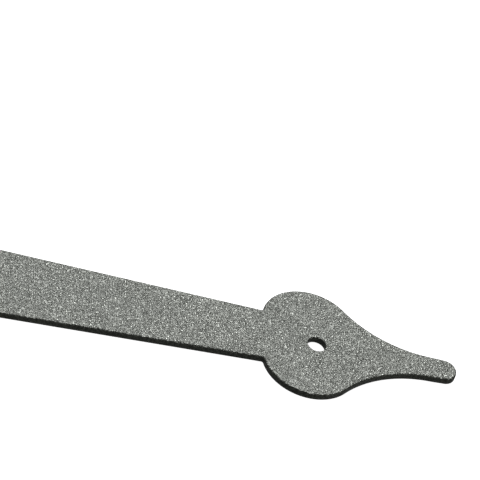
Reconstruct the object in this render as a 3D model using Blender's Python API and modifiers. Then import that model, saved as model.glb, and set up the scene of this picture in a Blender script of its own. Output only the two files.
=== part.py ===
"""Strap hinge for a gate or a door, lying on its back with the strap straight out.

The strap leaf tapers to a two-lobed spade with a drawn-out tip, and swings on the pin. The jamb leaf stays on
the post. Units are metres. +X runs from the pin to the strap's tip, +Y is the end of the pin that is up when
the hinge is hung, and +Z points away from the wall. The origin is the centre of the jamb leaf's back face.

Every shape is drawn about the pin's axis, then placed at PIN_PLACE.
"""

import math

import bmesh
import bpy
from mathutils import Matrix, Vector

MM = 0.001

# Gap between two surfaces that touch on the real hinge
CLEARANCE = 0.3 * MM

# Hinge pin: a plain shaft with a thinner end inside each finial
PIN_RADIUS = 4.0 * MM
PIN_END_RADIUS = 3.0 * MM
PIN_END_LENGTH = 7.0 * MM
PIN_CHAMFER = 0.5 * MM

# Flanged bushes in the strap's eye, and the washers that their flanges turn against
BUSH_WALL = 1.2 * MM
BUSH_FLANGE = 1.2 * MM
BUSH_LENGTH = 18.0 * MM
WASHER_THICKNESS = 1.0 * MM
RING_CHAMFER = 0.2 * MM

# Strap leaf, measured from the pin's axis
STRAP_REACH = 305.0 * MM
STRAP_GAUGE = 3.0 * MM
STRAP_ROOT_WIDTH = 46.0 * MM
STRAP_END_WIDTH = 28.0 * MM
TAPER_START = 12.0 * MM

# Spade: two round lobes behind the hole, drawn in to a narrow waist and a rounded tip
LOBE_RADIUS = 20.0 * MM
LOBE_OFFSET = 10.1 * MM
LOBE_SETBACK = 3.1 * MM
WAIST_RADIUS = 50.0 * MM
WAIST_WIDTH = 11.8 * MM
TIP_WIDTH = 11.3 * MM
TIP_STRAIGHT = 5.0 * MM
TIP_ROUND = 5.0 * MM
JUNCTION_FILLET = 0.9 * MM

# Jamb leaf, measured from the pin's axis
JAMB_REACH = 48.0 * MM
JAMB_EYE_LENGTH = 24.0 * MM
JAMB_CORNER = 7.0 * MM
NOTCH_GAP = 1.2 * MM
NOTCH_CORNER = 1.5 * MM

# Fixing holes. A root hole is RUN from the pin's axis and OFFSET from the centre line.
HOLE_RADIUS = 4.0 * MM
ROOT_PAIR_RUN = 30.0 * MM
ROOT_PAIR_OFFSET = 12.0 * MM
ROOT_SINGLE_RUN = 85.0 * MM
JAMB_HOLE_INSET = 11.5 * MM
JAMB_INNER_HOLE_INSET = 10.0 * MM
JAMB_INNER_HOLE_OFFSET = 14.0 * MM

# Rolled eyes and edges
SEAM_GAP = 0.4 * MM
EDGE_ROUND = 0.35 * MM

# Grub screws that lock the pin in the jamb leaf's eyes
GRUB_RADIUS = 2.0 * MM
GRUB_RECESS = 0.5 * MM
SOCKET_ACROSS_FLATS = 2.0 * MM
SOCKET_DEPTH = 2.0 * MM

# How far inside the barrel's outer surface the flanges, washers and finial collars stop
FLANGE_SETBACK = 0.8 * MM
WASHER_SETBACK = 1.2 * MM
COLLAR_SETBACK = 1.0 * MM

# Finials: a collar, a cove and a ball
COLLAR_LENGTH = 2.4 * MM
COVE_RADIUS = 5.0 * MM
COVE_LENGTH = 2.0 * MM
BALL_RADIUS = 6.8 * MM
COLLAR_CHAMFER = 0.5 * MM

# Facets of a full circle, and of the smaller arcs of an outline
EYE_FACETS = 48
TURNED_FACETS = 40
HOLE_FACETS = 32
ARC_FACETS = 20
CORNER_FACETS = 6
BEVEL_SEGMENTS = 2
SHARP_ANGLE = math.radians(40)
MERGE_DISTANCE = 0.00001

# Sizes that follow from the ones above
BUSH_BORE = PIN_RADIUS + CLEARANCE
BUSH_RADIUS = BUSH_BORE + BUSH_WALL
BARREL_RADIUS = BUSH_RADIUS + CLEARANCE + STRAP_GAUGE
JAMB_EYE_BORE = PIN_RADIUS + CLEARANCE
JAMB_GAUGE = BARREL_RADIUS - JAMB_EYE_BORE
FLANGE_RADIUS = BARREL_RADIUS - FLANGE_SETBACK
WASHER_RADIUS = BARREL_RADIUS - WASHER_SETBACK
COLLAR_RADIUS = BARREL_RADIUS - COLLAR_SETBACK
STRAP_EYE_END = STRAP_ROOT_WIDTH / 2
FLANGE_START = STRAP_EYE_END + CLEARANCE
WASHER_START = FLANGE_START + BUSH_FLANGE + CLEARANCE
JAMB_EYE_START = WASHER_START + WASHER_THICKNESS + CLEARANCE
BARREL_END = JAMB_EYE_START + JAMB_EYE_LENGTH
NOTCH_RUN = BARREL_RADIUS + NOTCH_GAP
PIN_PLACE = Vector(((JAMB_REACH + NOTCH_RUN) / 2, 0, BARREL_RADIUS))

PARTS = "strap_hinge"
CUTTERS = "strap_hinge_cutters"


def clear_scene():
    """Removes every object that the scene starts with."""
    for thing in list(bpy.data.objects):
        bpy.data.objects.remove(thing, do_unlink=True)


def add_collection(name):
    """Links a new, empty collection into the scene."""
    group = bpy.data.collections.new(name)
    bpy.context.scene.collection.children.link(group)
    return group


def add_material(name, colour, roughness, metallic):
    """Makes a Principled material of one colour."""
    made = bpy.data.materials.new(name)
    made.use_nodes = True
    shader = made.node_tree.nodes["Principled BSDF"]
    shader.inputs["Base Color"].default_value = (*colour, 1.0)
    shader.inputs["Roughness"].default_value = roughness
    shader.inputs["Metallic"].default_value = metallic
    made.diffuse_color = (*colour, 1.0)
    return made


def add_object(name, mesh, group, parent=None, place=(0, 0, 0)):
    """Puts a mesh in the scene, with its origin on the pin's axis unless place says otherwise."""
    thing = bpy.data.objects.new(name, mesh)
    bpy.data.collections[group].objects.link(thing)
    thing.location = place
    thing.parent = parent
    return thing


def add_pivot(name):
    """An empty on the pin's axis, which carries everything that stays in line with the pin."""
    pivot = bpy.data.objects.new(name, None)
    bpy.data.collections[PARTS].objects.link(pivot)
    pivot.location = PIN_PLACE
    return pivot


def shade_round(mesh):
    """Smooth shading, apart from real corners."""
    mesh.shade_smooth()
    mesh.set_sharp_from_angle(angle=SHARP_ANGLE)


def mesh_from(work, name):
    """Turns a finished bmesh into a mesh."""
    mesh = bpy.data.meshes.new(name)
    work.to_mesh(mesh)
    work.free()
    return mesh


def polar(centre, radius, angle):
    """The point at an angle on a circle."""
    return Vector((centre[0] + radius * math.cos(angle), centre[1] + radius * math.sin(angle)))


def arc(centre, radius, start, end, facets=ARC_FACETS):
    """Points along a circular arc, both ends included."""
    return [polar(centre, radius, start + (end - start) * i / facets) for i in range(facets + 1)]


def heading(vector):
    """The angle of a 2D vector."""
    return math.atan2(vector[1], vector[0])


def spade_layout():
    """Centres of the upper lobe and of the waist's curve, and the x of the hole, about the pin's axis."""
    drop = WAIST_WIDTH / 2 + WAIST_RADIUS - LOBE_OFFSET
    run = math.sqrt((LOBE_RADIUS + WAIST_RADIUS) ** 2 - drop**2)
    waist_x = STRAP_REACH - TIP_ROUND - TIP_STRAIGHT
    lobe = Vector((waist_x - run, LOBE_OFFSET))
    waist = Vector((waist_x, LOBE_OFFSET + drop))
    return lobe, waist, lobe.x + LOBE_SETBACK


def junction_fillet(edge_start, edge_end, lobe):
    """Arc that eases the corner between the strap's straight edge and the lobe."""
    along = (edge_end - edge_start).normalized()
    out = Vector((-along.y, along.x))
    reach = edge_end + out * JUNCTION_FILLET - lobe
    lean = reach.dot(along)
    back = lean + math.sqrt(lean**2 - reach.length_squared + (LOBE_RADIUS + JUNCTION_FILLET) ** 2)
    centre = lobe + reach - along * back
    return arc(centre, JUNCTION_FILLET, heading(-out), heading(lobe - centre), CORNER_FACETS), centre


def strap_half_outline():
    """The strap's upper edge, from the pin's axis to the tip."""
    lobe, waist, _ = spade_layout()
    half_end = STRAP_END_WIDTH / 2
    corner = Vector((lobe.x - math.sqrt(LOBE_RADIUS**2 - (half_end - lobe.y) ** 2), half_end))
    taper = Vector((TAPER_START, STRAP_EYE_END))
    fillet, fillet_centre = junction_fillet(taper, corner, lobe)
    points = [Vector((0, STRAP_EYE_END)), taper]
    points += fillet
    points += arc(lobe, LOBE_RADIUS, heading(fillet_centre - lobe), heading(waist - lobe))[1:]
    points += arc(waist, WAIST_RADIUS, heading(lobe - waist) + math.tau, 1.5 * math.pi)[1:]
    for i in range(ARC_FACETS // 2 + 1):
        turn = math.pi / 2 * (1 - i / (ARC_FACETS // 2))
        x = STRAP_REACH - TIP_ROUND + TIP_ROUND * math.cos(turn)
        points.append(Vector((x, TIP_WIDTH / 2 * math.sin(turn))))
    return points


def jamb_half_outline():
    """The jamb leaf's upper edge, from the middle of its notch round to the middle of its outer side."""
    outer = (-JAMB_REACH + JAMB_CORNER, BARREL_END - JAMB_CORNER)
    notch = (-NOTCH_RUN + NOTCH_CORNER, JAMB_EYE_START - NOTCH_CORNER)
    points = arc(notch, NOTCH_CORNER, math.pi, math.pi / 2, CORNER_FACETS)
    points += [Vector((0, JAMB_EYE_START)), Vector((0, BARREL_END))]
    points += arc(outer, JAMB_CORNER, math.pi / 2, math.pi, CORNER_FACETS + 2)
    return points


def mirrored(points):
    """The same points on the other side of the centre line, in the opposite order."""
    return [Vector((p.x, -p.y)) for p in reversed(points)]


def rolled_sheet(name, outline, gauge, turn):
    """A flat sheet on the back plane whose edges on the pin's axis are rolled up into eyes.

    turn is +1 where the sheet lies on the pin's +X side, and -1 where it lies on the -X side.
    """
    work = bmesh.new()
    corners = [work.verts.new((p.x, p.y, -BARREL_RADIUS)) for p in outline]
    work.faces.new(corners)
    roots = [e for e in work.edges if max(abs(v.co.x) for v in e.verts) < MERGE_DISTANCE]
    # The roll ends where its outer corner comes down to the sheet's front face
    past_side = math.asin((BARREL_RADIUS - gauge - SEAM_GAP) / BARREL_RADIUS)
    sweep = 1.5 * math.pi + past_side
    steps = round(EYE_FACETS * sweep / math.tau)
    bmesh.ops.spin(work, geom=roots, axis=(0, turn, 0), cent=(0, 0, 0), angle=sweep, steps=steps)
    work.normal_update()
    for face in work.faces:
        centre = face.calc_center_median()
        flat = abs(centre.z + BARREL_RADIUS) < MERGE_DISTANCE
        outward = Vector((0, 0, -1)) if flat else Vector((centre.x, 0, centre.z))
        if face.normal.dot(outward) < 0:
            face.normal_flip()
    return mesh_from(work, name)


def cut(thing, cutter):
    """Subtracts a cutter from a part."""
    step = thing.modifiers.new("cut_" + cutter.name, "BOOLEAN")
    step.operation = "DIFFERENCE"
    step.solver = "EXACT"
    step.object = cutter


def round_edges(thing, width):
    """Rounds every edge sharper than SHARP_ANGLE."""
    step = thing.modifiers.new("edges", "BEVEL")
    step.width = width
    step.segments = BEVEL_SEGMENTS
    step.limit_method = "ANGLE"
    step.angle_limit = SHARP_ANGLE
    step.use_clamp_overlap = False


def add_cutter(name, places, radius, length, facets=HOLE_FACETS, turn=None):
    """One hidden cutter made of a cylinder along Z at each place, turned about the pin's axis by turn."""
    work = bmesh.new()
    for place in places:
        spot = Matrix.Translation(place)
        bmesh.ops.create_cone(
            work, cap_ends=True, segments=facets, radius1=radius, radius2=radius, depth=length, matrix=spot
        )
    if turn is not None:
        bmesh.ops.transform(work, matrix=turn, verts=work.verts)
    cutter = add_object(name, mesh_from(work, name), CUTTERS)
    cutter.hide_render = True
    cutter.display_type = "WIRE"
    return cutter


def add_leaf(name, outline, gauge, turn, holes, pivot, material):
    """A leaf: the rolled sheet, thickened inwards, drilled, and with its edges rounded."""
    mesh = rolled_sheet(name, outline, gauge, turn)
    shade_round(mesh)
    leaf = add_object(name, mesh, PARTS, pivot)
    plate = leaf.modifiers.new("gauge", "SOLIDIFY")
    plate.thickness = gauge
    plate.offset = -1
    plate.use_even_offset = True
    holes.parent = pivot
    cut(leaf, holes)
    round_edges(leaf, EDGE_ROUND)
    leaf.data.materials.append(material)
    return leaf


def add_turned(name, profile, closed, end, pivot, material):
    """A piece turned about the pin's axis.

    The profile holds (radius, distance along the pin) pairs that run down the outer side. end is +1 for a
    piece at the pin's upper end and -1 for the same piece the other way up.
    """
    work = bmesh.new()
    points = [work.verts.new((radius, 0, along)) for radius, along in profile]
    for first, second in zip(points, points[1:]):
        work.edges.new((first, second))
    if closed:
        work.edges.new((points[-1], points[0]))
    thing = add_object(name, mesh_from(work, name), PARTS, pivot)
    thing.rotation_euler = (math.radians(-90 * end), 0, 0)
    lathe = thing.modifiers.new("turned", "SCREW")
    lathe.steps = TURNED_FACETS
    lathe.render_steps = TURNED_FACETS
    lathe.use_merge_vertices = True
    lathe.merge_threshold = MERGE_DISTANCE
    lathe.use_smooth_shade = True
    thing.data.materials.append(material)
    return thing


def ring_profile(inner, outer, low, high, chamfer):
    """Closed profile of a plain ring with chamfered outer corners."""
    return [
        (outer - chamfer, high),
        (outer, high - chamfer),
        (outer, low + chamfer),
        (outer - chamfer, low),
        (inner, low),
        (inner, high),
    ]


def strap_hole_places():
    """Centres of the strap's fixing holes, in the back plane."""
    spots = [(ROOT_PAIR_RUN, ROOT_PAIR_OFFSET), (ROOT_PAIR_RUN, -ROOT_PAIR_OFFSET), (ROOT_SINGLE_RUN, 0)]
    spots.append((spade_layout()[2], 0))
    return [Vector((x, y, -BARREL_RADIUS)) for x, y in spots]


def jamb_hole_places():
    """Centres of the jamb leaf's fixing holes, in the back plane."""
    outer_x = -JAMB_REACH + JAMB_HOLE_INSET
    inner_x = -NOTCH_RUN - JAMB_INNER_HOLE_INSET
    outer_y = BARREL_END - JAMB_HOLE_INSET
    spots = [(outer_x, outer_y), (inner_x, JAMB_INNER_HOLE_OFFSET)]
    return [Vector((x, side * y, -BARREL_RADIUS)) for x, y in spots for side in (1, -1)]


def add_strap_leaf(pivot, coat):
    """The moving leaf."""
    half = strap_half_outline()
    outline = mirrored(half)[::-1] + half[-2::-1]
    holes = add_cutter("strap_holes", strap_hole_places(), HOLE_RADIUS, 4 * STRAP_GAUGE)
    add_leaf("strap_leaf", outline, STRAP_GAUGE, 1, holes, pivot, coat)


def add_jamb_leaf(pivot, coat):
    """The fixed leaf, with a tapped hole for a grub screw in each eye."""
    half = jamb_half_outline()
    outline = half + mirrored(half)
    holes = add_cutter("jamb_holes", jamb_hole_places(), HOLE_RADIUS, 4 * JAMB_GAUGE)
    leaf = add_leaf("jamb_leaf", outline, JAMB_GAUGE, -1, holes, pivot, coat)
    bored = [Vector((0, side * grub_height(), BARREL_RADIUS)) for side in (1, -1)]
    sideways = Matrix.Rotation(math.radians(90), 4, "Y")
    tapped = add_cutter("grub_holes", bored, GRUB_RADIUS + CLEARANCE, 2 * BARREL_RADIUS, HOLE_FACETS, sideways)
    tapped.parent = pivot
    cut(leaf, tapped)


def add_pin(pivot, steel):
    """The hinge pin, with a thinner end for each finial."""
    end = BARREL_END + PIN_END_LENGTH
    upper = [
        (0, end),
        (PIN_END_RADIUS - PIN_CHAMFER, end),
        (PIN_END_RADIUS, end - PIN_CHAMFER),
        (PIN_END_RADIUS, BARREL_END),
        (PIN_RADIUS - PIN_CHAMFER, BARREL_END),
        (PIN_RADIUS, BARREL_END - PIN_CHAMFER),
    ]
    lower = [(radius, -along) for radius, along in reversed(upper)]
    add_turned("hinge_pin", upper + lower, False, 1, pivot, steel)


def add_bush(name, end, pivot, bronze):
    """A flanged bush, pressed into one end of the strap's eye."""
    flange_end = FLANGE_START + BUSH_FLANGE
    profile = [
        (FLANGE_RADIUS - RING_CHAMFER, flange_end),
        (FLANGE_RADIUS, flange_end - RING_CHAMFER),
        (FLANGE_RADIUS, FLANGE_START + RING_CHAMFER),
        (FLANGE_RADIUS - RING_CHAMFER, FLANGE_START),
        (BUSH_RADIUS, FLANGE_START),
        (BUSH_RADIUS, flange_end - BUSH_LENGTH),
        (BUSH_BORE, flange_end - BUSH_LENGTH),
        (BUSH_BORE, flange_end),
    ]
    add_turned(name, profile, True, end, pivot, bronze)


def add_washer(name, end, pivot, steel):
    """A thrust washer between a bush's flange and a jamb eye."""
    top = WASHER_START + WASHER_THICKNESS
    profile = ring_profile(BUSH_BORE, WASHER_RADIUS, WASHER_START, top, RING_CHAMFER)
    add_turned(name, profile, True, end, pivot, steel)


def add_finial(name, end, pivot, coat):
    """A turned cap with a blind bore for the pin's thin end."""
    foot = BARREL_END + CLEARANCE
    collar_top = foot + COLLAR_LENGTH
    neck = math.asin(COVE_RADIUS / BALL_RADIUS)
    centre = collar_top + COVE_LENGTH + BALL_RADIUS * math.cos(neck)
    bore = PIN_END_RADIUS + CLEARANCE
    facets = ARC_FACETS // 2 + 2
    profile = [(0, centre + BALL_RADIUS)]
    for i in range(1, facets + 1):
        turn = (math.pi - neck) * i / facets
        profile.append((BALL_RADIUS * math.sin(turn), centre + BALL_RADIUS * math.cos(turn)))
    profile += [
        (COVE_RADIUS, collar_top),
        (COLLAR_RADIUS - COLLAR_CHAMFER, collar_top),
        (COLLAR_RADIUS, collar_top - COLLAR_CHAMFER),
        (COLLAR_RADIUS, foot + COLLAR_CHAMFER),
        (COLLAR_RADIUS - COLLAR_CHAMFER, foot),
        (bore, foot),
        (bore, foot + PIN_END_LENGTH),
        (0, foot + PIN_END_LENGTH),
    ]
    add_turned(name, profile, False, end, pivot, coat)


def grub_height():
    """How far along the pin each grub screw stands from the hinge's middle."""
    return JAMB_EYE_START + JAMB_EYE_LENGTH / 2


def add_grub_screw(name, end, pivot, steel):
    """A socket screw that stands on the +X side of a jamb eye, with its point against the pin."""
    inner = JAMB_EYE_BORE
    length = BARREL_RADIUS - GRUB_RECESS - inner
    work = bmesh.new()
    bmesh.ops.create_cone(
        work, cap_ends=True, segments=HOLE_FACETS, radius1=GRUB_RADIUS, radius2=GRUB_RADIUS, depth=length
    )
    screw = add_object(name, mesh_from(work, name), PARTS, pivot)
    screw.location = (inner + length / 2, end * grub_height(), 0)
    screw.rotation_euler = (0, math.radians(90), 0)
    mouth = Vector((0, 0, length / 2))
    across_corners = SOCKET_ACROSS_FLATS / 2 / math.cos(math.pi / 6)
    socket = add_cutter(name + "_socket", [mouth], across_corners, 2 * SOCKET_DEPTH, 6)
    socket.parent = screw
    cut(screw, socket)
    screw.data.materials.append(steel)


def build():
    """Makes the whole hinge."""
    clear_scene()
    add_collection(PARTS)
    add_collection(CUTTERS)
    pin_line = add_pivot("pin_line")
    strap_pivot = add_pivot("strap_pivot")

    coats = {
        name: add_material(name, (0.035, 0.037, 0.035), 0.55, 0.0)
        for name in ("strap_leaf_coat", "jamb_leaf_coat", "finial_upper_coat", "finial_lower_coat")
    }
    add_strap_leaf(strap_pivot, coats["strap_leaf_coat"])
    add_jamb_leaf(pin_line, coats["jamb_leaf_coat"])
    add_pin(pin_line, add_material("hinge_pin_steel", (0.45, 0.45, 0.44), 0.3, 1.0))
    for side, end in (("upper", 1), ("lower", -1)):
        bronze = add_material(f"bush_{side}_bronze", (0.42, 0.27, 0.13), 0.45, 1.0)
        zinc = add_material(f"washer_{side}_steel", (0.55, 0.55, 0.54), 0.32, 1.0)
        oxide = add_material(f"grub_screw_{side}_steel", (0.05, 0.05, 0.055), 0.4, 1.0)
        add_bush(f"bush_{side}", end, strap_pivot, bronze)
        add_washer(f"washer_{side}", end, pin_line, zinc)
        add_finial(f"finial_{side}", end, pin_line, coats[f"finial_{side}_coat"])
        add_grub_screw(f"grub_screw_{side}", end, pin_line, oxide)


build()
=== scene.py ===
"""Looks of a black strap hinge: two leaves of flat steel, a pin, and the small turned pieces round it.

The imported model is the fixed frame. Each class below makes the fine mesh of one kind of piece and
dresses it in its finish. Shapes are drawn about the pin's axis, in metres, with +X along the strap, +Y up
the pin and +Z out of the front faces, and are moved to the pin's place when they are done.
"""

import logging
import math
from collections.abc import Sequence
from dataclasses import dataclass
from enum import Enum

import bmesh
import bpy
from bpy.types import Material, Mesh, Node, NodeSocket, NodeTree, Object
from mathutils import Matrix, Vector


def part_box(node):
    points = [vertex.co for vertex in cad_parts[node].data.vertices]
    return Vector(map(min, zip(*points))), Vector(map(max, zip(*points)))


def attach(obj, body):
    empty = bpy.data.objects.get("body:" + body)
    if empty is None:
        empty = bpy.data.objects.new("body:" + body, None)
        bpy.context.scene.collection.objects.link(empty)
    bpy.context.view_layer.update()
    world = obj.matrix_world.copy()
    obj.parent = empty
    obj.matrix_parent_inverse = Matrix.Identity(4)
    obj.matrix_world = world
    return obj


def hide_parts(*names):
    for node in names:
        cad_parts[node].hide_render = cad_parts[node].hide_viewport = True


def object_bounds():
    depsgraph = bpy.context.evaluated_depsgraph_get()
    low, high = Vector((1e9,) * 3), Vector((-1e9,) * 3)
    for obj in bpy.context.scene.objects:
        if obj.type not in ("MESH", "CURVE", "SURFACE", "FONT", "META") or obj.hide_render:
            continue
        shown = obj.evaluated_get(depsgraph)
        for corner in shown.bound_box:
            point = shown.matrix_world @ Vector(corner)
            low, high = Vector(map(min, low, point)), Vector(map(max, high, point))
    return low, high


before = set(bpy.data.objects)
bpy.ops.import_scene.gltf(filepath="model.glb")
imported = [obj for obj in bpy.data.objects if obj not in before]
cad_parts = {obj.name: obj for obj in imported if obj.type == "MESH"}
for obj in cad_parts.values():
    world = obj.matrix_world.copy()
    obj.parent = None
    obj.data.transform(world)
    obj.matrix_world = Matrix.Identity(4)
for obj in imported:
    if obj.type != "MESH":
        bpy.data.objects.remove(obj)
CAD_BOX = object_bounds()

MM = 0.001
WELD = 0.002 * MM
LOG = logging.getLogger("hinge")

Triple = tuple[float, float, float]
Colour = Triple
Spot = tuple[float, float]
Surface = tuple[NodeSocket, NodeSocket, NodeSocket]
WHITE = (1.0, 1.0, 1.0)


class Body(Enum):
    """The bodies that the pieces ride on."""

    JAMB = "jamb"
    STRAP = "strap"


class End(Enum):
    """The two ends of the pin, with the sign of their side of the hinge."""

    UPPER = 1
    LOWER = -1

    @property
    def word(self) -> str:
        """The end's name as it stands in the names of pieces."""
        return self.name.lower()


class Way(Enum):
    """Which way a leaf runs from the pin, with the sign of its X."""

    TO_TIP = 1
    TO_POST = -1


class Lay(Enum):
    """The marks that its making leaves on a piece of bare metal."""

    TURNED = "rings round the pin's axis"
    GRAINED = "fine grain with no direction"


# ---------------- node trees


@dataclass
class Graph:
    """A node tree, with short ways to add nodes and wire them."""

    tree: NodeTree

    def feed(self, inputs: object, values: dict) -> None:
        """Wires inputs to outputs, or sets their values.

        Args:
            inputs: A node's inputs.
            values: An output socket or a plain value for each, by name or number.
        """
        for key, value in values.items():
            if isinstance(value, NodeSocket):
                self.tree.links.new(value, inputs[key])
            else:
                inputs[key].default_value = value

    def add(self, kind: str, inputs: dict | None = None, **settings: object) -> Node:
        """Adds a node.

        Args:
            kind: The node's type.
            inputs: What feeds its inputs, by name or number.
            **settings: The node's own properties.

        Returns:
            The new node.
        """
        node = self.tree.nodes.new(kind)
        for name, value in settings.items():
            setattr(node, name, value)
        self.feed(node.inputs, inputs or {})
        return node

    def math(self, operation: str, *values: object) -> NodeSocket:
        """Adds a Math node.

        Args:
            operation: What it does.
            *values: Its operands, in order.

        Returns:
            The result's socket.
        """
        return self.add("ShaderNodeMath", dict(enumerate(values)), operation=operation).outputs[0]

    def times(self, first: object, second: object) -> NodeSocket:
        """The product of two numbers."""
        return self.math("MULTIPLY", first, second)

    def split(self, vector: NodeSocket) -> list[NodeSocket]:
        """Splits a vector into the sockets of its X, Y and Z."""
        return list(self.add("ShaderNodeSeparateXYZ", {0: vector}).outputs)

    def joined(self, x: object, y: object, z: object) -> NodeSocket:
        """Joins X, Y and Z into the socket of a vector."""
        return self.add("ShaderNodeCombineXYZ", {0: x, 1: y, 2: z}).outputs[0]

    def place(self) -> NodeSocket:
        """The socket of the piece's own coordinates."""
        return self.add("ShaderNodeTexCoord").outputs["Object"]

    def span(self, value: object, low: float, high: float, to_low: object, to_high: object) -> NodeSocket:
        """Maps a range onto another one, and holds the result inside it.

        Args:
            value: What is mapped.
            low: Start of the range.
            high: End of the range.
            to_low: Result at the start.
            to_high: Result at the end.

        Returns:
            The result's socket.
        """
        return self.add("ShaderNodeMapRange", {0: value, 1: low, 2: high, 3: to_low, 4: to_high}).outputs[0]

    def blend(self, share: object, first: object, second: object) -> NodeSocket:
        """Mixes two colours.

        Args:
            share: The second colour's share.
            first: The first colour.
            second: The second colour.

        Returns:
            The mixed colour's socket.
        """
        return self.add("ShaderNodeMix", {0: share, 6: first, 7: second}, data_type="RGBA").outputs[2]


def new_group(
    name: str, inputs: dict[str, str], outputs: dict[str, str], kind: str = "ShaderNodeTree"
) -> tuple:
    """Starts a node group with named inputs and outputs.

    Args:
        name: The group's name.
        inputs: Types of the inputs, by name.
        outputs: Types of the outputs, by name.
        kind: The type of its tree.

    Returns:
        The graph, the inputs' sockets and the outputs' sockets, both by name.
    """
    tree = bpy.data.node_groups.new(name, kind)
    for side, sockets in (("INPUT", inputs), ("OUTPUT", outputs)):
        for label, value_type in sockets.items():
            tree.interface.new_socket(label, in_out=side, socket_type="NodeSocket" + value_type)
    graph = Graph(tree)
    return graph, graph.add("NodeGroupInput").outputs, graph.add("NodeGroupOutput").inputs


class Recipe:
    """A geometry node tree that takes a mesh and returns one, with its sizes as named inputs."""

    def __init__(self, name: str, sizes: dict[str, str]) -> None:
        """Starts the tree.

        Args:
            name: The tree's name.
            sizes: Types of the inputs other than the mesh and its material, by name.
        """
        inputs = {"Geometry": "Geometry", **sizes, "Material": "Material"}
        made = new_group(name, inputs, {"Geometry": "Geometry"}, "GeometryNodeTree")
        self.graph, self.given, self.result = made

    def finish(self, geometry: NodeSocket) -> None:
        """Ends the tree in real meshes that carry the material.

        Args:
            geometry: The socket of what has been made.
        """
        real = self.graph.add("GeometryNodeRealizeInstances", {"Geometry": geometry}).outputs[0]
        look = {"Geometry": real, "Material": self.given["Material"]}
        dressed = self.graph.add("GeometryNodeSetMaterial", look).outputs[0]
        self.graph.feed(self.result, {"Geometry": dressed})

    def use_on(self, thing: Object, **values: object) -> None:
        """Puts the tree on an object as a modifier.

        Args:
            thing: The object.
            **values: The inputs' values, by name with _ for each space.
        """
        step = thing.modifiers.new(self.graph.tree.name, "NODES")
        step.node_group = self.graph.tree
        sockets = {
            item.name.lower().replace(" ", "_"): item.identifier
            for item in self.graph.tree.interface.items_tree
            if item.in_out == "INPUT"
        }
        for name, value in values.items():
            step[sockets[name]] = value


def drilling() -> Recipe:
    """Holes in a plate: a cylinder stands on each point of another object, and all of them are cut away.

    Returns:
        The tree.
    """
    sizes = {"Centres": "Object", "Radius": "Float", "Length": "Float", "Facets": "Int", "Tilt": "Float"}
    recipe = Recipe("drilling", sizes)
    graph, given = recipe.graph, recipe.given
    dots = graph.add("GeometryNodeObjectInfo", {"Object": given["Centres"]}).outputs["Geometry"]
    points = graph.add("GeometryNodeMeshToPoints", {"Mesh": dots}).outputs[0]
    bit = {"Vertices": given["Facets"], "Radius": given["Radius"], "Depth": given["Length"]}
    drill = graph.add("GeometryNodeMeshCylinder", bit).outputs["Mesh"]
    tilt = graph.joined(0.0, given["Tilt"], 0.0)
    stood = {"Points": points, "Instance": drill, "Rotation": tilt}
    drills = graph.add("GeometryNodeInstanceOnPoints", stood).outputs[0]
    solid = graph.add("GeometryNodeRealizeInstances", {"Geometry": drills}).outputs[0]
    pair = {"Mesh 1": given["Geometry"], "Mesh 2": solid}
    cut = graph.add("GeometryNodeMeshBoolean", pair, operation="DIFFERENCE", solver="EXACT")
    recipe.finish(cut.outputs["Mesh"])
    return recipe


def rolling() -> Recipe:
    """An eye: what lies past the pin's axis wraps round it, with the sheet's back on the barrel's outside.

    Returns:
        The tree.
    """
    recipe = Recipe("rolling", {"Barrel radius": "Float", "Way": "Float"})
    graph, given = recipe.graph, recipe.given
    x, y, z = graph.split(graph.add("GeometryNodeInputPosition").outputs[0])
    away = graph.times(given["Way"], -1.0)
    past = graph.times(x, away)
    turn = graph.math("DIVIDE", past, given["Barrel radius"])
    side = graph.times(graph.times(graph.times(z, -1.0), graph.math("SINE", turn)), away)
    height = graph.times(z, graph.math("COSINE", turn))
    rolled = {"Selection": graph.math("GREATER_THAN", past, 0.0), "Position": graph.joined(side, y, height)}
    wrapped = graph.add("GeometryNodeSetPosition", {"Geometry": given["Geometry"], **rolled})
    recipe.finish(wrapped.outputs[0])
    return recipe


def turning() -> Recipe:
    """A lathe: a profile of (radius, length) points in the XY plane goes once round the Z axis.

    The sweep lays the profile's Y down the Z axis, so the profile is turned over first.

    Returns:
        The tree.
    """
    recipe = Recipe("turning", {"Guide radius": "Float", "Facets": "Int", "Weld": "Float"})
    graph, given = recipe.graph, recipe.given
    shift = graph.joined(graph.times(given["Guide radius"], -1.0), 0.0, 0.0)
    moved = {"Geometry": given["Geometry"], "Translation": shift, "Scale": (1.0, -1.0, 1.0)}
    profile = graph.add("GeometryNodeTransform", moved).outputs[0]
    cutter = graph.add("GeometryNodeMeshToCurve", {"Mesh": profile}).outputs[0]
    circle = {"Resolution": given["Facets"], "Radius": given["Guide radius"]}
    guide = graph.add("GeometryNodeCurvePrimitiveCircle", circle).outputs[0]
    skin = graph.add("GeometryNodeCurveToMesh", {"Curve": guide, "Profile Curve": cutter}).outputs[0]
    weld = {"Geometry": skin, "Distance": given["Weld"]}
    recipe.finish(graph.add("GeometryNodeMergeByDistance", weld).outputs[0])
    return recipe


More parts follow.
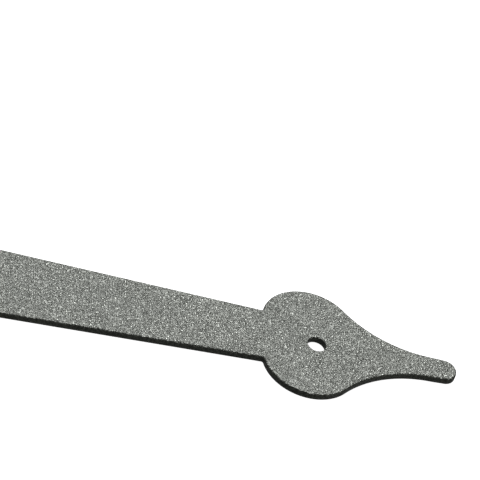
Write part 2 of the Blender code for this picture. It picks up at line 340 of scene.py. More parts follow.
def threading() -> Recipe:
    """A screw thread: the side of a finely divided cylinder along Z is drawn in along a helix.

    Returns:
        The tree.
    """
    lengths = dict.fromkeys(("Radius", "Length", "Pitch", "Depth", "Chamfer"), "Float")
    recipe = Recipe("threading", {**lengths, "Facets": "Int", "Rings": "Int"})
    graph, given = recipe.graph, recipe.given
    counts = {"Vertices": given["Facets"], "Side Segments": given["Rings"]}
    sizes = {"Radius": given["Radius"], "Depth": given["Length"]}
    rod = graph.add("GeometryNodeMeshCylinder", {**counts, **sizes}).outputs["Mesh"]
    x, y, z = graph.split(graph.add("GeometryNodeInputPosition").outputs[0])
    round_share = graph.math("DIVIDE", graph.math("ARCTAN2", y, x), math.tau)
    turns = graph.math("SUBTRACT", graph.math("DIVIDE", z, given["Pitch"]), round_share)
    groove = graph.times(graph.math("PINGPONG", turns, 0.5), 2.0)
    threaded = graph.math("SUBTRACT", given["Radius"], graph.times(groove, given["Depth"]))
    half = graph.times(given["Length"], 0.5)
    to_end = graph.math("SUBTRACT", half, graph.math("ABSOLUTE", z))
    lead = graph.math("SUBTRACT", given["Chamfer"], to_end)
    chamfered = graph.math("SUBTRACT", given["Radius"], graph.math("MAXIMUM", lead, 0.0))
    wanted = graph.math("MINIMUM", threaded, chamfered)
    share = graph.math("DIVIDE", wanted, given["Radius"])
    place = graph.joined(graph.times(x, share), graph.times(y, share), z)
    cut = graph.add("GeometryNodeSetPosition", {"Geometry": rod, "Position": place})
    recipe.finish(cut.outputs[0])
    return recipe


# ---------------- finishes


def sand_group() -> NodeTree:
    """Sand texture of a powder coat: packed round grains of uneven height, with painted shade between them
    and painted glints on their crests.

    Returns:
        The node group.
    """
    sizes = {"Grains per metre": "Float", "Smoothest": "Float", "Roughest": "Float"}
    graph, given, result = new_group(
        "sand_texture",
        {**sizes, "Valley": "Color", "Crest": "Color"},
        {"Color": "Color", "Roughness": "Float", "Height": "Float"},
    )
    place = graph.place()
    scale = given["Grains per metre"]
    swell = graph.add("ShaderNodeTexNoise", {"Vector": place, "Scale": scale, "Detail": 0.0})
    cells = {"Vector": place, "Scale": scale, "Smoothness": 0.6}
    grains = graph.add("ShaderNodeTexVoronoi", cells, feature="SMOOTH_F1")
    dome = graph.span(grains.outputs["Distance"], 0.0, 0.9, 1.0, 0.0)
    wave = graph.span(swell.outputs[0], 0.3, 0.7, 0.0, 1.0)
    swell_share, grain_share = 0.6, 0.4
    height = graph.math("ADD", graph.times(wave, swell_share), graph.times(dome, grain_share))
    # Painted glint and painted shade: the higher a grain stands, the lighter its colour, which stands in
    # for glints on the crests and shade in the hollows.
    crest = graph.span(height, 0.35, 0.8, 0.0, 1.0)
    colour = graph.blend(crest, given["Valley"], given["Crest"])
    roughness = graph.span(height, 0.2, 0.8, given["Roughest"], given["Smoothest"])
    graph.feed(result, {"Color": colour, "Roughness": roughness, "Height": height})
    return graph.tree


def patina_group() -> NodeTree:
    """Slow changes over a surface: it dulls and darkens a little in soft patches.

    Returns:
        The node group.
    """
    worn = {"Color": "Color", "Roughness": "Float"}
    strengths = {"Patches per metre": "Float", "Darkening": "Float", "Dulling": "Float"}
    graph, given, result = new_group("patina", {**worn, **strengths}, worn)
    scale = given["Patches per metre"]
    cloud = graph.add("ShaderNodeTexNoise", {"Vector": graph.place(), "Scale": scale, "Detail": 4.0})
    patch = graph.span(cloud.outputs[0], 0.35, 0.65, 0.0, 1.0)
    colour = graph.blend(graph.times(patch, given["Darkening"]), given["Color"], (0.0, 0.0, 0.0, 1.0))
    roughness = graph.math("ADD", given["Roughness"], graph.times(patch, given["Dulling"]))
    graph.feed(result, {"Color": colour, "Roughness": roughness})
    return graph.tree


def ring_group() -> NodeTree:
    """Tool marks of a turned piece: fine uneven rings round a line along Y.

    Returns:
        The node group.
    """
    sizes = {"Centre": "Vector", "Rings per metre": "Float", "Drift": "Float"}
    graph, given, result = new_group("turning_rings", sizes, {"Mark": "Float"})
    ends = {0: graph.place(), 1: given["Centre"]}
    x, y, z = graph.split(graph.add("ShaderNodeVectorMath", ends, operation="SUBTRACT").outputs[0])
    across = graph.times(graph.math("ADD", x, z), given["Drift"])
    radius = graph.math("SQRT", graph.math("ADD", graph.math("POWER", x, 2.0), graph.math("POWER", z, 2.0)))
    noise = {"Vector": graph.joined(radius, y, across), "Scale": given["Rings per metre"], "Detail": 3.0}
    rings = graph.add("ShaderNodeTexNoise", noise).outputs[0]
    graph.feed(result, {"Mark": graph.span(rings, 0.3, 0.7, 0.0, 1.0)})
    return graph.tree


def grain_group() -> NodeTree:
    """Grain of a sintered, blasted or blackened metal, with small dark pores.

    Returns:
        The node group.
    """
    sizes = {"Grains per metre": "Float", "Pores": "Float"}
    graph, given, result = new_group("metal_grain", sizes, {"Mark": "Float"})
    place, scale = graph.place(), given["Grains per metre"]
    fine = graph.add("ShaderNodeTexNoise", {"Vector": place, "Scale": scale, "Detail": 3.0}).outputs[0]
    cells = graph.add("ShaderNodeTexVoronoi", {"Vector": place, "Scale": scale}).outputs["Distance"]
    pore = graph.times(graph.span(cells, 0.0, 0.25, 1.0, 0.0), given["Pores"])
    graph.feed(result, {"Mark": graph.math("SUBTRACT", graph.span(fine, 0.3, 0.7, 0.0, 1.0), pore)})
    return graph.tree


class Effects:
    """The shader groups that the finishes share, built once, and the point that tool marks go round."""

    def __init__(self, centre: Vector) -> None:
        """Builds the groups.

        Args:
            centre: A point on the line that turned pieces are turned about.
        """
        self.centre = tuple(centre)
        self.sand = sand_group()
        self.patina = patina_group()
        self.rings = ring_group()
        self.grain = grain_group()


def new_material(name: str) -> tuple[Material, Graph, Node]:
    """Starts a material with one Principled shader.

    Args:
        name: The material's name.

    Returns:
        The material, its graph and its shader.
    """
    material = bpy.data.materials.new(name)
    material.use_nodes = True
    return material, Graph(material.node_tree), material.node_tree.nodes["Principled BSDF"]


def opaque(colour: Colour) -> tuple[float, float, float, float]:
    """The colour with full alpha."""
    return (*colour, 1.0)


@dataclass(frozen=True)
class Finish:
    """A finish: the colour, roughness and relief that its making leaves, under a patina."""

    name: str

    patches_per_metre = 160.0
    darkening = 0.25
    dulling = 0.08
    metallic = 1.0
    sheen = WHITE

    def surface(self, graph: Graph, effects: Effects) -> Surface:
        """Adds the bare surface, before its patina.

        Args:
            graph: The material's graph.
            effects: The shared shader groups.

        Returns:
            The sockets of its colour, roughness and height.
        """
        raise NotImplementedError

    def made(self, effects: Effects) -> Material:
        """Builds the material.

        Args:
            effects: The shared shader groups.

        Returns:
            The material.
        """
        material, graph, shader = new_material(self.name)
        colour, roughness, height = self.surface(graph, effects)
        worn = {
            "Color": colour,
            "Roughness": roughness,
            "Patches per metre": self.patches_per_metre,
            "Darkening": self.darkening,
            "Dulling": self.dulling,
        }
        patina = graph.add("ShaderNodeGroup", worn, node_tree=effects.patina).outputs
        bump = graph.add("ShaderNodeBump", {"Height": height, "Distance": self.relief})
        look = {"Base Color": patina["Color"], "Roughness": patina["Roughness"], "Normal": bump.outputs[0]}
        graph.feed(shader.inputs, {**look, "Metallic": self.metallic, "Specular Tint": opaque(self.sheen)})
        return material


@dataclass(frozen=True)
class PowderCoat(Finish):
    """Black, sand-textured powder coat, satin on its crests and dull between them."""

    # The coat's black, darkened with painted shade for the hollows between grains.
    valley: Colour = (0.011, 0.0125, 0.010)
    # The coat's black, lightened with a painted glint for the crests of the grains.
    crest: Colour = (0.055, 0.0595, 0.049)
    grains_per_metre: float = 1350.0
    relief: float = 0.24 * MM
    smoothest: float = 0.24
    roughest: float = 0.36

    patches_per_metre = 45.0
    darkening = 0.12
    dulling = 0.03
    metallic = 0.0
    sheen = (0.955, 1.0, 0.915)

    @property
    def grit(self) -> dict:
        """What the sand texture is fed with."""
        # The two sand colours: the coat's black with painted shade in the hollows and a painted glint on
        # the crests.
        paint = {"Valley": opaque(self.valley), "Crest": opaque(self.crest)}
        gloss = {"Smoothest": self.smoothest, "Roughest": self.roughest}
        return {"Grains per metre": self.grains_per_metre, **paint, **gloss}

    def surface(self, graph: Graph, effects: Effects) -> Surface:
        """The sockets of the sand texture's colour, roughness and height."""
        sand = graph.add("ShaderNodeGroup", self.grit, node_tree=effects.sand).outputs
        return sand["Color"], sand["Roughness"], sand["Height"]


@dataclass(frozen=True)
class BareMetal(Finish):
    """Metal with no paint: ground, turned, sintered, plated or blackened."""

    low: Colour
    high: Colour
    smoothest: float
    roughest: float
    lay: Lay
    marks_per_metre: float
    relief: float
    pores: float = 0.0

    drift = 0.03

    def surface(self, graph: Graph, effects: Effects) -> Surface:
        """Adds the marks that its making has left.

        Args:
            graph: The material's graph.
            effects: The shared shader groups.

        Returns:
            The sockets of its colour, roughness and height.
        """
        if self.lay is Lay.TURNED:
            tree, scale = effects.rings, "Rings per metre"
            more = {"Centre": effects.centre, "Drift": self.drift}
        else:
            tree, scale, more = effects.grain, "Grains per metre", {"Pores": self.pores}
        marks_in = {scale: self.marks_per_metre, **more}
        mark = graph.add("ShaderNodeGroup", marks_in, node_tree=tree).outputs["Mark"]
        colour = graph.blend(mark, opaque(self.low), opaque(self.high))
        return colour, graph.span(mark, 0.0, 1.0, self.roughest, self.smoothest), mark


METALS = (
    BareMetal(
        "ground_steel", (0.42, 0.42, 0.41), (0.62, 0.62, 0.6), smoothest=0.18, roughest=0.34,
        lay=Lay.TURNED, marks_per_metre=9000.0, relief=0.002 * MM,
    ),
    BareMetal(
        "sintered_bronze", (0.24, 0.14, 0.065), (0.52, 0.33, 0.16), smoothest=0.38, roughest=0.6,
        lay=Lay.GRAINED, marks_per_metre=5200.0, relief=0.012 * MM, pores=0.8,
    ),
    BareMetal(
        "zinc_plate", (0.5, 0.51, 0.53), (0.72, 0.73, 0.74), smoothest=0.22, roughest=0.4,
        lay=Lay.TURNED, marks_per_metre=5000.0, relief=0.004 * MM,
    ),
    BareMetal(
        "black_oxide", (0.02, 0.02, 0.023), (0.06, 0.06, 0.066), smoothest=0.3, roughest=0.48,
        lay=Lay.GRAINED, marks_per_metre=6500.0, relief=0.006 * MM, pores=0.2,
    ),
)


# ---------------- shared geometry


def arc(centre: Sequence[float], radius: float, start: float, end: float, step: float) -> list[Vector]:
    """Points along a circular arc.

    Args:
        centre: The circle's centre.
        radius: Its radius.
        start: The first point's angle.
        end: The last point's angle.
        step: The largest angle between two points.

    Returns:
        The points, both ends included.
    """
    count = max(2, math.ceil(abs(end - start) / step))
    angles = [start + (end - start) * i / count for i in range(count + 1)]
    return [Vector((centre[0] + radius * math.cos(a), centre[1] + radius * math.sin(a))) for a in angles]


def heading(vector: Vector) -> float:
    """The angle of a 2D vector."""
    return math.atan2(vector[1], vector[0])


def mirrored(points: Sequence[Vector]) -> list[Vector]:
    """The same points on the other side of the centre line, in the opposite order."""
    return [Vector((p.x, -p.y)) for p in reversed(points)]


def softened(corners: Sequence[tuple[float, float, float]], step: float) -> list[Vector]:
    """A profile with its corners rounded.

    Args:
        corners: The corners as (radius, length, rounding). A rounding of 0 keeps the corner.
        step: The largest angle between two points of a rounding.

    Returns:
        The profile's points.
    """
    points = []
    for i, (radius, length, rounding) in enumerate(corners):
        corner = Vector((radius, length))
        if not rounding:
            points.append(corner)
            continue
        back = (Vector(corners[i - 1][:2]) - corner).normalized()
        ahead = (Vector(corners[(i + 1) % len(corners)][:2]) - corner).normalized()
        half = back.angle(ahead) / 2
        centre = corner + (back + ahead).normalized() * rounding / math.sin(half)
        start = heading(corner + back * rounding / math.tan(half) - centre)
        end = heading(corner + ahead * rounding / math.tan(half) - centre)
        sweep = (end - start + math.pi) % math.tau - math.pi
        points += arc(centre, rounding, start, start + sweep, step)
    return points


def mesh_of(name: str, work: bmesh.types.BMesh) -> Mesh:
    """Turns a finished bmesh into a mesh."""
    mesh = bpy.data.meshes.new(name)
    work.to_mesh(mesh)
    work.free()
    return mesh


def linked(data: bpy.types.ID) -> Object:
    """Puts a mesh, a lamp or a camera in the scene as an object of the same name."""
    thing = bpy.data.objects.new(data.name, data)
    bpy.context.scene.collection.objects.link(thing)
    return thing


def marks(name: str, places: Sequence[Vector]) -> Object:
    """An object of loose points, which a recipe reads."""
    mesh = bpy.data.meshes.new(name)
    mesh.from_pydata([tuple(p) for p in places], [], [])
    return linked(mesh)


def dropped(*things: Object) -> None:
    """Removes objects that have done their work."""
    for thing in things:
        bpy.data.objects.remove(thing, do_unlink=True)


def plain(thing: Object, name: str, place: Matrix, corner: float) -> Object:
    """Settles what an object's modifiers make into a plain closed mesh.

    Args:
        thing: The object with the modifiers, which is removed.
        name: The new piece's name.
        place: Where the mesh goes in the hinge's frame.
        corner: The smallest angle that shows as a corner.

    Returns:
        The new piece, unturned and at the origin.
    """
    depsgraph = bpy.context.evaluated_depsgraph_get()
    mesh = bpy.data.meshes.new_from_object(thing.evaluated_get(depsgraph))
    mesh.name = name
    dropped(thing)
    work = bmesh.new()
    work.from_mesh(mesh)
    bmesh.ops.remove_doubles(work, verts=work.verts, dist=WELD)
    bmesh.ops.dissolve_degenerate(work, edges=work.edges, dist=WELD)
    bmesh.ops.transform(work, matrix=place, verts=work.verts)
    bmesh.ops.recalc_face_normals(work, faces=work.faces)
    work.to_mesh(mesh)
    work.free()
    mesh.shade_smooth()
    mesh.set_sharp_from_angle(angle=corner)
    return linked(mesh)


def settle(piece: Object, node: str, body: Body) -> Object:
    """Hands a finished piece to the frame and reports it.

    Args:
        piece: The piece.
        node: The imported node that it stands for.
        body: The body that it rides on.

    Returns:
        The same piece.
    """
    low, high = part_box(node)
    proud = max(max(c[i] - high[i], low[i] - c[i]) for c in piece.bound_box for i in range(3))
    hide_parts(node)
    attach(piece, body.value)
    faces = sum(len(p.vertices) - 2 for p in piece.data.polygons)
    LOG.info("%s for %s: %d triangles, %+.3f mm past its node's box", piece.name, node, faces, proud / MM)
    return piece


# ---------------- the hinge


@dataclass
class Barrel:
    """Sizes that the pieces round the pin share. The pin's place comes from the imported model."""

    clearance: float = 0.3 * MM
    pin_radius: float = 4.0 * MM
    strap_gauge: float = 3.0 * MM
    strap_width: float = 46.0 * MM
    bush_wall: float = 1.2 * MM
    bush_flange: float = 1.2 * MM
    washer_thickness: float = 1.0 * MM
    jamb_eye_length: float = 24.0 * MM
    seam_gap: float = 0.4 * MM
    pin_end_radius: float = 3.0 * MM
    pin_end_length: float = 7.0 * MM

    def __post_init__(self) -> None:
        """Works out the sizes that follow from these. Starts and ends are from the middle of the pin."""
        low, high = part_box("hinge_pin")
        self.centre = (low + high) / 2
        self.bore = self.pin_radius + self.clearance
        self.radius = self.bore + self.bush_wall + self.clearance + self.strap_gauge
        self.jamb_gauge = self.radius - self.bore
        self.flange_start = self.strap_width / 2 + self.clearance
        self.washer_start = self.flange_start + self.bush_flange + self.clearance
        self.jamb_eye_start = self.washer_start + self.washer_thickness + self.clearance
        self.jamb_eye_middle = self.jamb_eye_start + self.jamb_eye_length / 2
        self.end = self.jamb_eye_start + self.jamb_eye_length


@dataclass
class Leaf:
    """A leaf of flat steel whose edge on the pin's axis is rolled into eyes.

    It is made as the real one is: a flat blank is cut, rounded along its edges, drilled and then rolled.
    """

    barrel: Barrel
    gauge: float
    coat: Material
    edge_round: float = 0.5 * MM
    rim_round: float = 0.1 * MM
    edge_segments: int = 3
    sharp: float = math.radians(40)
    hole_radius: float = 4.0 * MM
    hole_facets: int = 96
    eye_facets: int = 128
    arc_step: float = math.radians(4)
    corner: float = math.radians(8)
    root_margin: float = 2.0 * MM

    way = Way.TO_TIP
    body = Body.STRAP
    node = ""
    piece_name = ""

    def outline(self) -> list[Vector]:
        """The flat part's outline, with its root edges on the pin's axis."""
        raise NotImplementedError

    def holes(self) -> list[Spot]:
        """Centres of the fixing holes, from the pin's axis."""
        raise NotImplementedError

    def finish_eyes(self, leaf: Object) -> list[Object]:
        """Adds what is done to the rolled eyes.

        Args:
            leaf: The leaf's object.

        Returns:
            The helper objects that were needed.
        """
        return []

    def blank(self) -> Mesh:
        """The flat blank's back face, with the strips that become eyes, divided for the roll.

        Returns:
            The mesh.
        """
        barrel = self.barrel
        past_side = math.asin((barrel.radius - self.gauge - barrel.seam_gap) / barrel.radius)
        sweep = 1.5 * math.pi + past_side
        steps = round(self.eye_facets * sweep / math.tau)
        stride = Vector((-self.way.value * barrel.radius * sweep / steps, 0, 0))
        work = bmesh.new()
        work.faces.new([work.verts.new((p.x, p.y, -barrel.radius)) for p in self.outline()])
        roots = [e for e in work.edges if max(abs(v.co.x) for v in e.verts) < WELD]
        for _ in range(steps):
            grown = bmesh.ops.extrude_edge_only(work, edges=roots)["geom"]
            moved = [v for v in grown if isinstance(v, bmesh.types.BMVert)]
            bmesh.ops.translate(work, vec=stride, verts=moved)
            roots = [e for e in grown if isinstance(e, bmesh.types.BMEdge)]
        margin = (self.way.value * self.root_margin, 0, 0)
        everything = [*work.faces, *work.edges, *work.verts]
        bmesh.ops.bisect_plane(work, geom=everything, plane_co=margin, plane_no=(1, 0, 0))
        for face in work.faces:
            face.normal_update()
            if face.normal.z > 0:
                face.normal_flip()
        return mesh_of(self.node + "_blank", work)

    def soften(self, leaf: Object, width: float) -> None:
        """Rounds the edges that are sharp so far.

        Args:
            leaf: The leaf's object.
            width: How far the rounding reaches from each edge.
        """
        step = leaf.modifiers.new("rounding", "BEVEL")
        step.width = width
        step.segments = self.edge_segments
        step.limit_method = "ANGLE"
        step.angle_limit = self.sharp
        step.use_clamp_overlap = False

    def build(self, drill: Recipe, roll: Recipe) -> Object:
        """Makes the leaf.

        Args:
            drill: The recipe for holes.
            roll: The recipe for eyes.

        Returns:
            The piece.
        """
        barrel = self.barrel
        leaf = linked(self.blank())
        plate = leaf.modifiers.new("gauge", "SOLIDIFY")
        plate.thickness = self.gauge
        plate.offset = -1
        self.soften(leaf, self.edge_round)
        centres = marks(self.node + "_centres", [Vector((x, y, -barrel.radius)) for x, y in self.holes()])
        drill.use_on(
            leaf, centres=centres, radius=self.hole_radius, length=4 * self.gauge,
            facets=self.hole_facets, tilt=0.0, material=self.coat,
        )
        self.soften(leaf, self.rim_round)
        roll.use_on(leaf, barrel_radius=barrel.radius, way=float(self.way.value), material=self.coat)
        helpers = self.finish_eyes(leaf)
        piece = plain(leaf, self.piece_name, Matrix.Translation(barrel.centre), self.corner)
        dropped(centres, *helpers)
        return settle(piece, self.node, self.body)


@dataclass
class StrapLeaf(Leaf):
    """The moving leaf: a long taper that ends in a two-lobed spade with a drawn-out tip."""

    reach: float = 305.0 * MM
    end_width: float = 28.0 * MM
    taper_start: float = 12.0 * MM
    lobe_radius: float = 20.0 * MM
    lobe_offset: float = 10.1 * MM
    lobe_setback: float = 3.1 * MM
    waist_radius: float = 50.0 * MM
    waist_width: float = 11.8 * MM
    tip_width: float = 11.3 * MM
    tip_straight: float = 5.0 * MM
    tip_round: float = 5.0 * MM
    fillet: float = 0.9 * MM
    pair_run: float = 30.0 * MM
    pair_offset: float = 12.0 * MM
    single_run: float = 85.0 * MM

    node = "strap_leaf"
    piece_name = "strap_plate"

    def centres(self) -> tuple[Vector, Vector]:
        """Centres of the upper lobe and of the curve that draws it in to the waist.

        Returns:
            Both centres.
        """
        drop = self.waist_width / 2 + self.waist_radius - self.lobe_offset
        run = math.sqrt((self.lobe_radius + self.waist_radius) ** 2 - drop**2)
        waist_x = self.reach - self.tip_round - self.tip_straight
        return Vector((waist_x - run, self.lobe_offset)), Vector((waist_x, self.lobe_offset + drop))

    def junction(self, lobe: Vector) -> tuple[list[Vector], Vector]:
        """The small arc that eases the corner between the straight edge and the lobe.

        Args:
            lobe: The lobe's centre.

        Returns:
            The arc's points and its centre.
        """
        half_end = self.end_width / 2
        corner = Vector((lobe.x - math.sqrt(self.lobe_radius**2 - (half_end - lobe.y) ** 2), half_end))
        along = (corner - Vector((self.taper_start, self.barrel.strap_width / 2))).normalized()
        out = Vector((-along.y, along.x))
        arm = corner + out * self.fillet - lobe
        lean = arm.dot(along)
        back = lean + math.sqrt(lean**2 - arm.length_squared + (self.lobe_radius + self.fillet) ** 2)
        centre = lobe + arm - along * back
        return arc(centre, self.fillet, heading(-out), heading(lobe - centre), self.arc_step), centre

    def outline(self) -> list[Vector]:
        """The flat part's outline, from the pin's axis round the tip and back."""
        lobe, waist = self.centres()
        ease, ease_centre = self.junction(lobe)
        half_root = self.barrel.strap_width / 2
        half = [Vector((0, half_root)), Vector((self.taper_start, half_root)), *ease]
        start, end = heading(ease_centre - lobe), heading(waist - lobe)
        half += arc(lobe, self.lobe_radius, start, end, self.arc_step / 2)[1:]
        start, end = heading(lobe - waist) + math.tau, 1.5 * math.pi
        half += arc(waist, self.waist_radius, start, end, self.arc_step / 4)[1:]
        for point in arc((0, 0), 1, math.pi / 2, 0, self.arc_step):
            half.append(Vector((self.reach - self.tip_round * (1 - point.x), self.tip_width / 2 * point.y)))
        return mirrored(half)[::-1] + half[-2::-1]

    def holes(self) -> list[Spot]:
        """Centres of the fixing holes, from the pin's axis."""
        spade = self.centres()[0].x + self.lobe_setback
        pair = [(self.pair_run, side * self.pair_offset) for side in (1, -1)]
        return [*pair, (self.single_run, 0), (spade, 0)]


@dataclass
class JambLeaf(Leaf):
    """The fixed leaf: a plate notched for the strap's eye, with a tapped hole in each of its two eyes."""

    reach: float = 48.0 * MM
    corner_radius: float = 7.0 * MM
    notch_gap: float = 1.2 * MM
    notch_corner: float = 1.5 * MM
    hole_inset: float = 11.5 * MM
    inner_inset: float = 10.0 * MM
    inner_offset: float = 14.0 * MM
    tapped_radius: float = 2.3 * MM
    tapped_facets: int = 64

    way = Way.TO_POST
    body = Body.JAMB
    node = "jamb_leaf"
    piece_name = "jamb_plate"

    @property
    def notch_run(self) -> float:
        """How far the notch is cut back from the pin's axis."""
        return self.barrel.radius + self.notch_gap

    def outline(self) -> list[Vector]:
        """The flat part's outline, from the middle of the notch round the outer side and back."""
        barrel = self.barrel
        notch = (-self.notch_run + self.notch_corner, barrel.jamb_eye_start - self.notch_corner)
        outer = (-self.reach + self.corner_radius, barrel.end - self.corner_radius)
        half = arc(notch, self.notch_corner, math.pi, math.pi / 2, self.arc_step)
        half += [Vector((0, barrel.jamb_eye_start)), Vector((0, barrel.end))]
        half += arc(outer, self.corner_radius, math.pi / 2, math.pi, self.arc_step)
        return half + mirrored(half)

    def holes(self) -> list[Spot]:
        """Centres of the fixing holes, from the pin's axis."""
        outer = (-self.reach + self.hole_inset, self.barrel.end - self.hole_inset)
        inner = (-self.notch_run - self.inner_inset, self.inner_offset)
        return [(x, side * y) for x, y in (outer, inner) for side in (1, -1)]

    def finish_eyes(self, leaf: Object) -> list[Object]:
        """Drills the tapped holes for the grub screws, on the +X side of the eyes.

        Args:
            leaf: The leaf's object.

        Returns:
            The helper objects that were needed.
        """
        barrel = self.barrel
        places = [Vector((barrel.radius, end.value * barrel.jamb_eye_middle, 0)) for end in End]
        centres = marks("tapped_centres", places)
        drilling().use_on(
            leaf, centres=centres, radius=self.tapped_radius, length=2 * barrel.radius,
            facets=self.tapped_facets, tilt=math.pi / 2, material=self.coat,
        )
        return [centres]


@dataclass
class TurnedPiece:
    """A piece turned about the pin's axis, one at each end of the pin."""

    barrel: Barrel
    finish: Material
    facets: int = 128
    step: float = math.radians(6)
    corner: float = math.radians(20)

    node_stem = ""
    piece_stem = ""
    body = Body.JAMB
    slot = ""

    def profile(self) -> list[Vector]:
        """The (radius, length) points of half a section. A ring's starts off the axis and is closed."""
        raise NotImplementedError

    def build(self, end: End, lathe: Recipe) -> Object:
        """Turns the piece for one end of the pin.

        Args:
            end: Which end.
            lathe: The recipe for turned pieces.

        Returns:
            The piece.
        """
        points = self.profile()
        work = bmesh.new()
        corners = [work.verts.new((p.x, p.y, 0)) for p in points]
        for first, second in zip(corners, corners[1:]):
            work.edges.new((first, second))
        if points[0].x > WELD:
            work.edges.new((corners[-1], corners[0]))
        blank = linked(mesh_of(self.node_stem + "_profile", work))
        guide = max(p.x for p in points)
        lathe.use_on(blank, guide_radius=guide, facets=self.facets, weld=WELD, material=self.finish)
        place = Matrix.Translation(self.barrel.centre) @ Matrix.Rotation(-end.value * math.pi / 2, 4, "X")
        piece = plain(blank, f"{self.piece_stem}_{end.word}", place, self.corner)
        return settle(piece, f"{self.node_stem}_{end.word}", self.body)


@dataclass
class Bush(TurnedPiece):
    """A flanged bush, pressed into one end of the strap's eye."""

    length: float = 18.0 * MM
    flange_setback: float = 0.8 * MM
    rounding: float = 0.2 * MM

    node_stem = "bush"
    piece_stem = "flanged_bush"
    body = Body.STRAP
    slot = "bush_bronze"

    def profile(self) -> list[Vector]:
        """The (radius, length) points of half a section."""
        barrel, soft = self.barrel, self.rounding
        rim = barrel.radius - self.flange_setback
        low, high = barrel.flange_start, barrel.flange_start + barrel.bush_flange
        sleeve, foot = barrel.bore + barrel.bush_wall, high - self.length
        corners = [(rim, high, soft), (rim, low, soft), (sleeve, low, soft / 2), (sleeve, foot, soft)]
        return softened([*corners, (barrel.bore, foot, soft), (barrel.bore, high, soft)], self.step)


@dataclass
class Washer(TurnedPiece):
    """A thrust washer between a bush's flange and a jamb eye."""

    setback: float = 1.2 * MM
    rounding: float = 0.2 * MM

    node_stem = "washer"
    piece_stem = "thrust_washer"
    slot = "washer_steel"

    def profile(self) -> list[Vector]:
        """The (radius, length) points of half a section."""
        barrel, soft = self.barrel, self.rounding
        rim, low = barrel.radius - self.setback, barrel.washer_start
        high = low + barrel.washer_thickness
        bore, half = barrel.bore, soft / 2
        corners = [(rim, high, soft), (rim, low, soft), (bore, low, half), (bore, high, half)]
        return softened(corners, self.step)


@dataclass
class Finial(TurnedPiece):
    """A cap on a thin end of the pin: a collar, a hollow neck and a ball."""

    collar_length: float = 2.4 * MM
    collar_setback: float = 1.0 * MM
    neck_radius: float = 5.0 * MM
    neck_length: float = 2.0 * MM
    neck_hollow: float = 0.45 * MM
    ball_radius: float = 6.8 * MM
    rounding: float = 0.5 * MM

    node_stem = "finial"
    piece_stem = "finial_cap"
    slot = "black_powder_coat"

    def neck(self, low: float) -> list[Vector]:
        """The hollow curve of the neck.

        Args:
            low: Where the neck leaves the collar.

        Returns:
            The points, from the ball down to the collar.
        """
        half = self.neck_length / 2
        radius = (half**2 + self.neck_hollow**2) / (2 * self.neck_hollow)
        lean = math.asin(half / radius)
        centre = (self.neck_radius - self.neck_hollow + radius, low + half)
        return arc(centre, radius, math.pi - lean, math.pi + lean, self.step)

    def profile(self) -> list[Vector]:
        """The (radius, length) points of half a section, from the ball's top to the end of the bore."""
        barrel = self.barrel
        foot = barrel.end + barrel.clearance
        top = foot + self.collar_length
        neck = math.asin(self.neck_radius / self.ball_radius)
        centre = (0, top + self.neck_length + self.ball_radius * math.cos(neck))
        ball = arc(centre, self.ball_radius, math.pi / 2, neck - math.pi / 2, self.step / 2)
        rim = barrel.radius - self.collar_setback
        bore = barrel.pin_end_radius + barrel.clearance
        depth = foot + barrel.pin_end_length
        soft = self.rounding
        corners = [(self.neck_radius, top, 0), (rim, top, soft), (rim, foot, soft), (bore, foot, soft / 2)]
        collar = softened([*corners, (bore, depth, soft / 2), (0, depth, 0)], self.step)
        return ball[:-1] + self.neck(top)[:-1] + collar


@dataclass
class GrubScrew:
    """A threaded stud with a hexagon socket, which locks the pin in a jamb eye."""

    barrel: Barrel
    finish: Material
    radius: float = 2.0 * MM
    recess: float = 0.5 * MM
    pitch: float = 0.7 * MM
    depth: float = 0.38 * MM
    chamfer: float = 0.35 * MM
    across_flats: float = 2.0 * MM
    socket_depth: float = 2.0 * MM
    socket_sides: int = 6
    facets: int = 64
    rings: int = 56
    corner: float = math.radians(30)

    def build(self, end: End, thread: Recipe, drill: Recipe) -> Object:
        """Makes the screw for one end of the pin.

        Args:
            end: Which end.
            thread: The recipe for screw threads.
            drill: The recipe for holes, which cuts the socket.

        Returns:
            The piece.
        """
        barrel = self.barrel
        length = barrel.radius - self.recess - barrel.bore
        stud = marks("grub_screw_blank", [Vector()])
        thread.use_on(
            stud, radius=self.radius, length=length, pitch=self.pitch, depth=self.depth,
            chamfer=self.chamfer, facets=self.facets, rings=self.rings, material=self.finish,
        )
        mouth = marks("socket_centre", [Vector((0, 0, length / 2))])
        reach = self.across_flats / 2 / math.cos(math.pi / self.socket_sides)
        drill.use_on(
            stud, centres=mouth, radius=reach, length=2 * self.socket_depth,
            facets=self.socket_sides, tilt=0.0, material=self.finish,
        )
        along = end.value * barrel.jamb_eye_middle
        spot = barrel.centre + Vector((barrel.bore + length / 2, along, 0))
        place = Matrix.Translation(spot) @ Matrix.Rotation(math.pi / 2, 4, "Y")
        piece = plain(stud, f"grub_stud_{end.word}", place, self.corner)
        dropped(mouth)
        return settle(piece, f"grub_screw_{end.word}", Body.JAMB)


def dress_pin(finish: Material) -> None:
    """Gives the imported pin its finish.

    Args:
        finish: The material.
    """
    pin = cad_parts["hinge_pin"]
    pin.data.materials.clear()
    pin.data.materials.append(finish)
    LOG.info("hinge_pin keeps its packed mesh, in %s", finish.name)


# ---------------- the studio


@dataclass(frozen=True)
class SoftBox:
    """A square area light that faces the hinge."""

    name: str
    direction: Triple
    distance: float
    width: float
    radiance: float

    def place(self, target: Vector) -> None:
        """Adds the light.

        Args:
            target: The point that it faces.
        """
        lamp = bpy.data.lights.new(self.name, "AREA")
        lamp.shape = "SQUARE"
        lamp.size = self.width
        lamp.energy = self.radiance * math.pi * self.width**2
        box = linked(lamp)
        towards = Vector(self.direction).normalized()
        box.location = target + towards * self.distance
        box.rotation_euler = towards.to_track_quat("Z", "Y").to_euler()
        box.visible_camera = False
        LOG.info("light %s at %.2f m", self.name, self.distance)


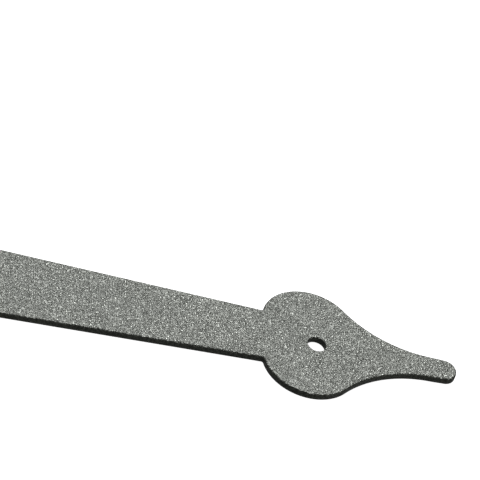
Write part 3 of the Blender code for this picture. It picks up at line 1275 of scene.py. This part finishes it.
@dataclass
class Studio:
    """Plain pale floor, white surroundings, soft lights and the camera."""

    lens: float = 600.0
    distance: float = 3.2695
    aim_right: float = -31.47 * MM
    aim_up: float = 42.54 * MM
    right: Triple = (0.9593, -0.0186, 0.2819)
    up: Triple = (-0.1939, 0.6825, 0.7047)
    surround: float = 0.16
    floor_glow: float = 0.94
    floor_width: float = 8.0
    floor_gap: float = 0.2 * MM
    light_aim: float = 0.6

    def boxes(self) -> list[SoftBox]:
        """The lights: one that the strap's face reflects, and weaker ones for the other sides."""
        return [
            SoftBox("key_box", (0.212, 0.725, 0.656), distance=3.9, width=1.05, radiance=41.0),
            SoftBox("far_box", (-0.62, 0.62, 0.48), distance=1.8, width=0.9, radiance=4.0),
            SoftBox("near_box", (0.68, -0.68, 0.27), distance=2.2, width=0.9, radiance=4.4),
            SoftBox("top_box", (-0.5, -0.2, 0.85), distance=1.8, width=0.7, radiance=3.0),
        ]

    def add_camera(self, hole: Vector) -> None:
        """Adds the camera, which looks down the strap to its spade.

        Args:
            hole: The middle of the spade's hole, in the strap's front face.
        """
        right, up = Vector(self.right), Vector(self.up)
        back = right.cross(up).normalized()
        right = up.cross(back).normalized()
        up = back.cross(right)
        turned = Matrix((right, up, back)).transposed().to_4x4()
        aim = hole + right * self.aim_right + up * self.aim_up
        lens = bpy.data.cameras.new("camera")
        lens.lens = self.lens
        lens.clip_start = 0.01
        lens.clip_end = 40.0
        camera = linked(lens)
        camera.matrix_world = Matrix.Translation(aim + back * self.distance) @ turned
        bpy.context.scene.camera = camera

    def add_floor(self) -> None:
        """Adds the floor, just under the hinge's back."""
        work = bmesh.new()
        bmesh.ops.create_grid(work, x_segments=1, y_segments=1, size=self.floor_width / 2)
        low = CAD_BOX[0].z - self.floor_gap
        bmesh.ops.translate(work, vec=(0, 0, low), verts=work.verts)
        floor = linked(mesh_of("floor", work))
        material, graph, shader = new_material("pale_floor")
        speck = graph.add("ShaderNodeTexNoise", {"Scale": 900.0, "Detail": 2.0})
        tone = graph.span(speck.outputs[0], 0.3, 0.7, 0.58, 0.62)
        glow = {"Emission Color": opaque(WHITE), "Emission Strength": self.floor_glow}
        matt = {"Roughness": 0.9, "Specular IOR Level": 0.0}
        graph.feed(shader.inputs, {"Base Color": graph.joined(tone, tone, tone), **matt, **glow})
        floor.data.materials.append(material)
        floor.visible_diffuse = False
        floor.visible_glossy = False

    def add_surroundings(self) -> None:
        """Sets a world that looks white and lights the hinge only dimly."""
        world = bpy.data.worlds.new("studio")
        bpy.context.scene.world = world
        world.use_nodes = True
        graph = Graph(world.node_tree)
        seen = graph.add("ShaderNodeLightPath").outputs["Is Camera Ray"]
        level = graph.span(seen, 0.0, 1.0, self.surround, 1.0)
        sky = world.node_tree.nodes["Background"].inputs
        graph.feed(sky, {"Strength": level, "Color": opaque(WHITE)})

    def build(self, hole: Vector) -> None:
        """Sets up the studio.

        Args:
            hole: The middle of the spade's hole, in the strap's front face.
        """
        bpy.context.scene.view_settings.view_transform = "Standard"
        self.add_camera(hole)
        self.add_floor()
        self.add_surroundings()
        for box in self.boxes():
            box.place(Vector((hole.x * self.light_aim, hole.y, hole.z)))


# ---------------- the whole


def main() -> None:
    """Builds every piece in order, then the studio."""
    logging.basicConfig(level=logging.INFO, format="%(message)s")
    barrel = Barrel()
    effects = Effects(barrel.centre)
    drill, roll, lathe, thread = drilling(), rolling(), turning(), threading()

    coat = PowderCoat("leaf_coat").made(effects)
    finial_coat = PowderCoat("finial_coat", relief=0.07 * MM).made(effects)
    ground, bronze, zinc, oxide = (metal.made(effects) for metal in METALS)

    strap = StrapLeaf(barrel, barrel.strap_gauge, coat)
    strap.build(drill, roll)
    JambLeaf(barrel, barrel.jamb_gauge, coat).build(drill, roll)
    dress_pin(ground)
    for end in End:
        Bush(barrel, bronze).build(end, lathe)
        Washer(barrel, zinc).build(end, lathe)
        Finial(barrel, finial_coat).build(end, lathe)
        GrubScrew(barrel, oxide).build(end, thread, drill)

    spade_x, spade_y = strap.holes()[-1]
    front = strap.gauge - barrel.radius
    Studio().build(barrel.centre + Vector((spade_x, spade_y, front)))


if __name__ == "__main__":
    main()
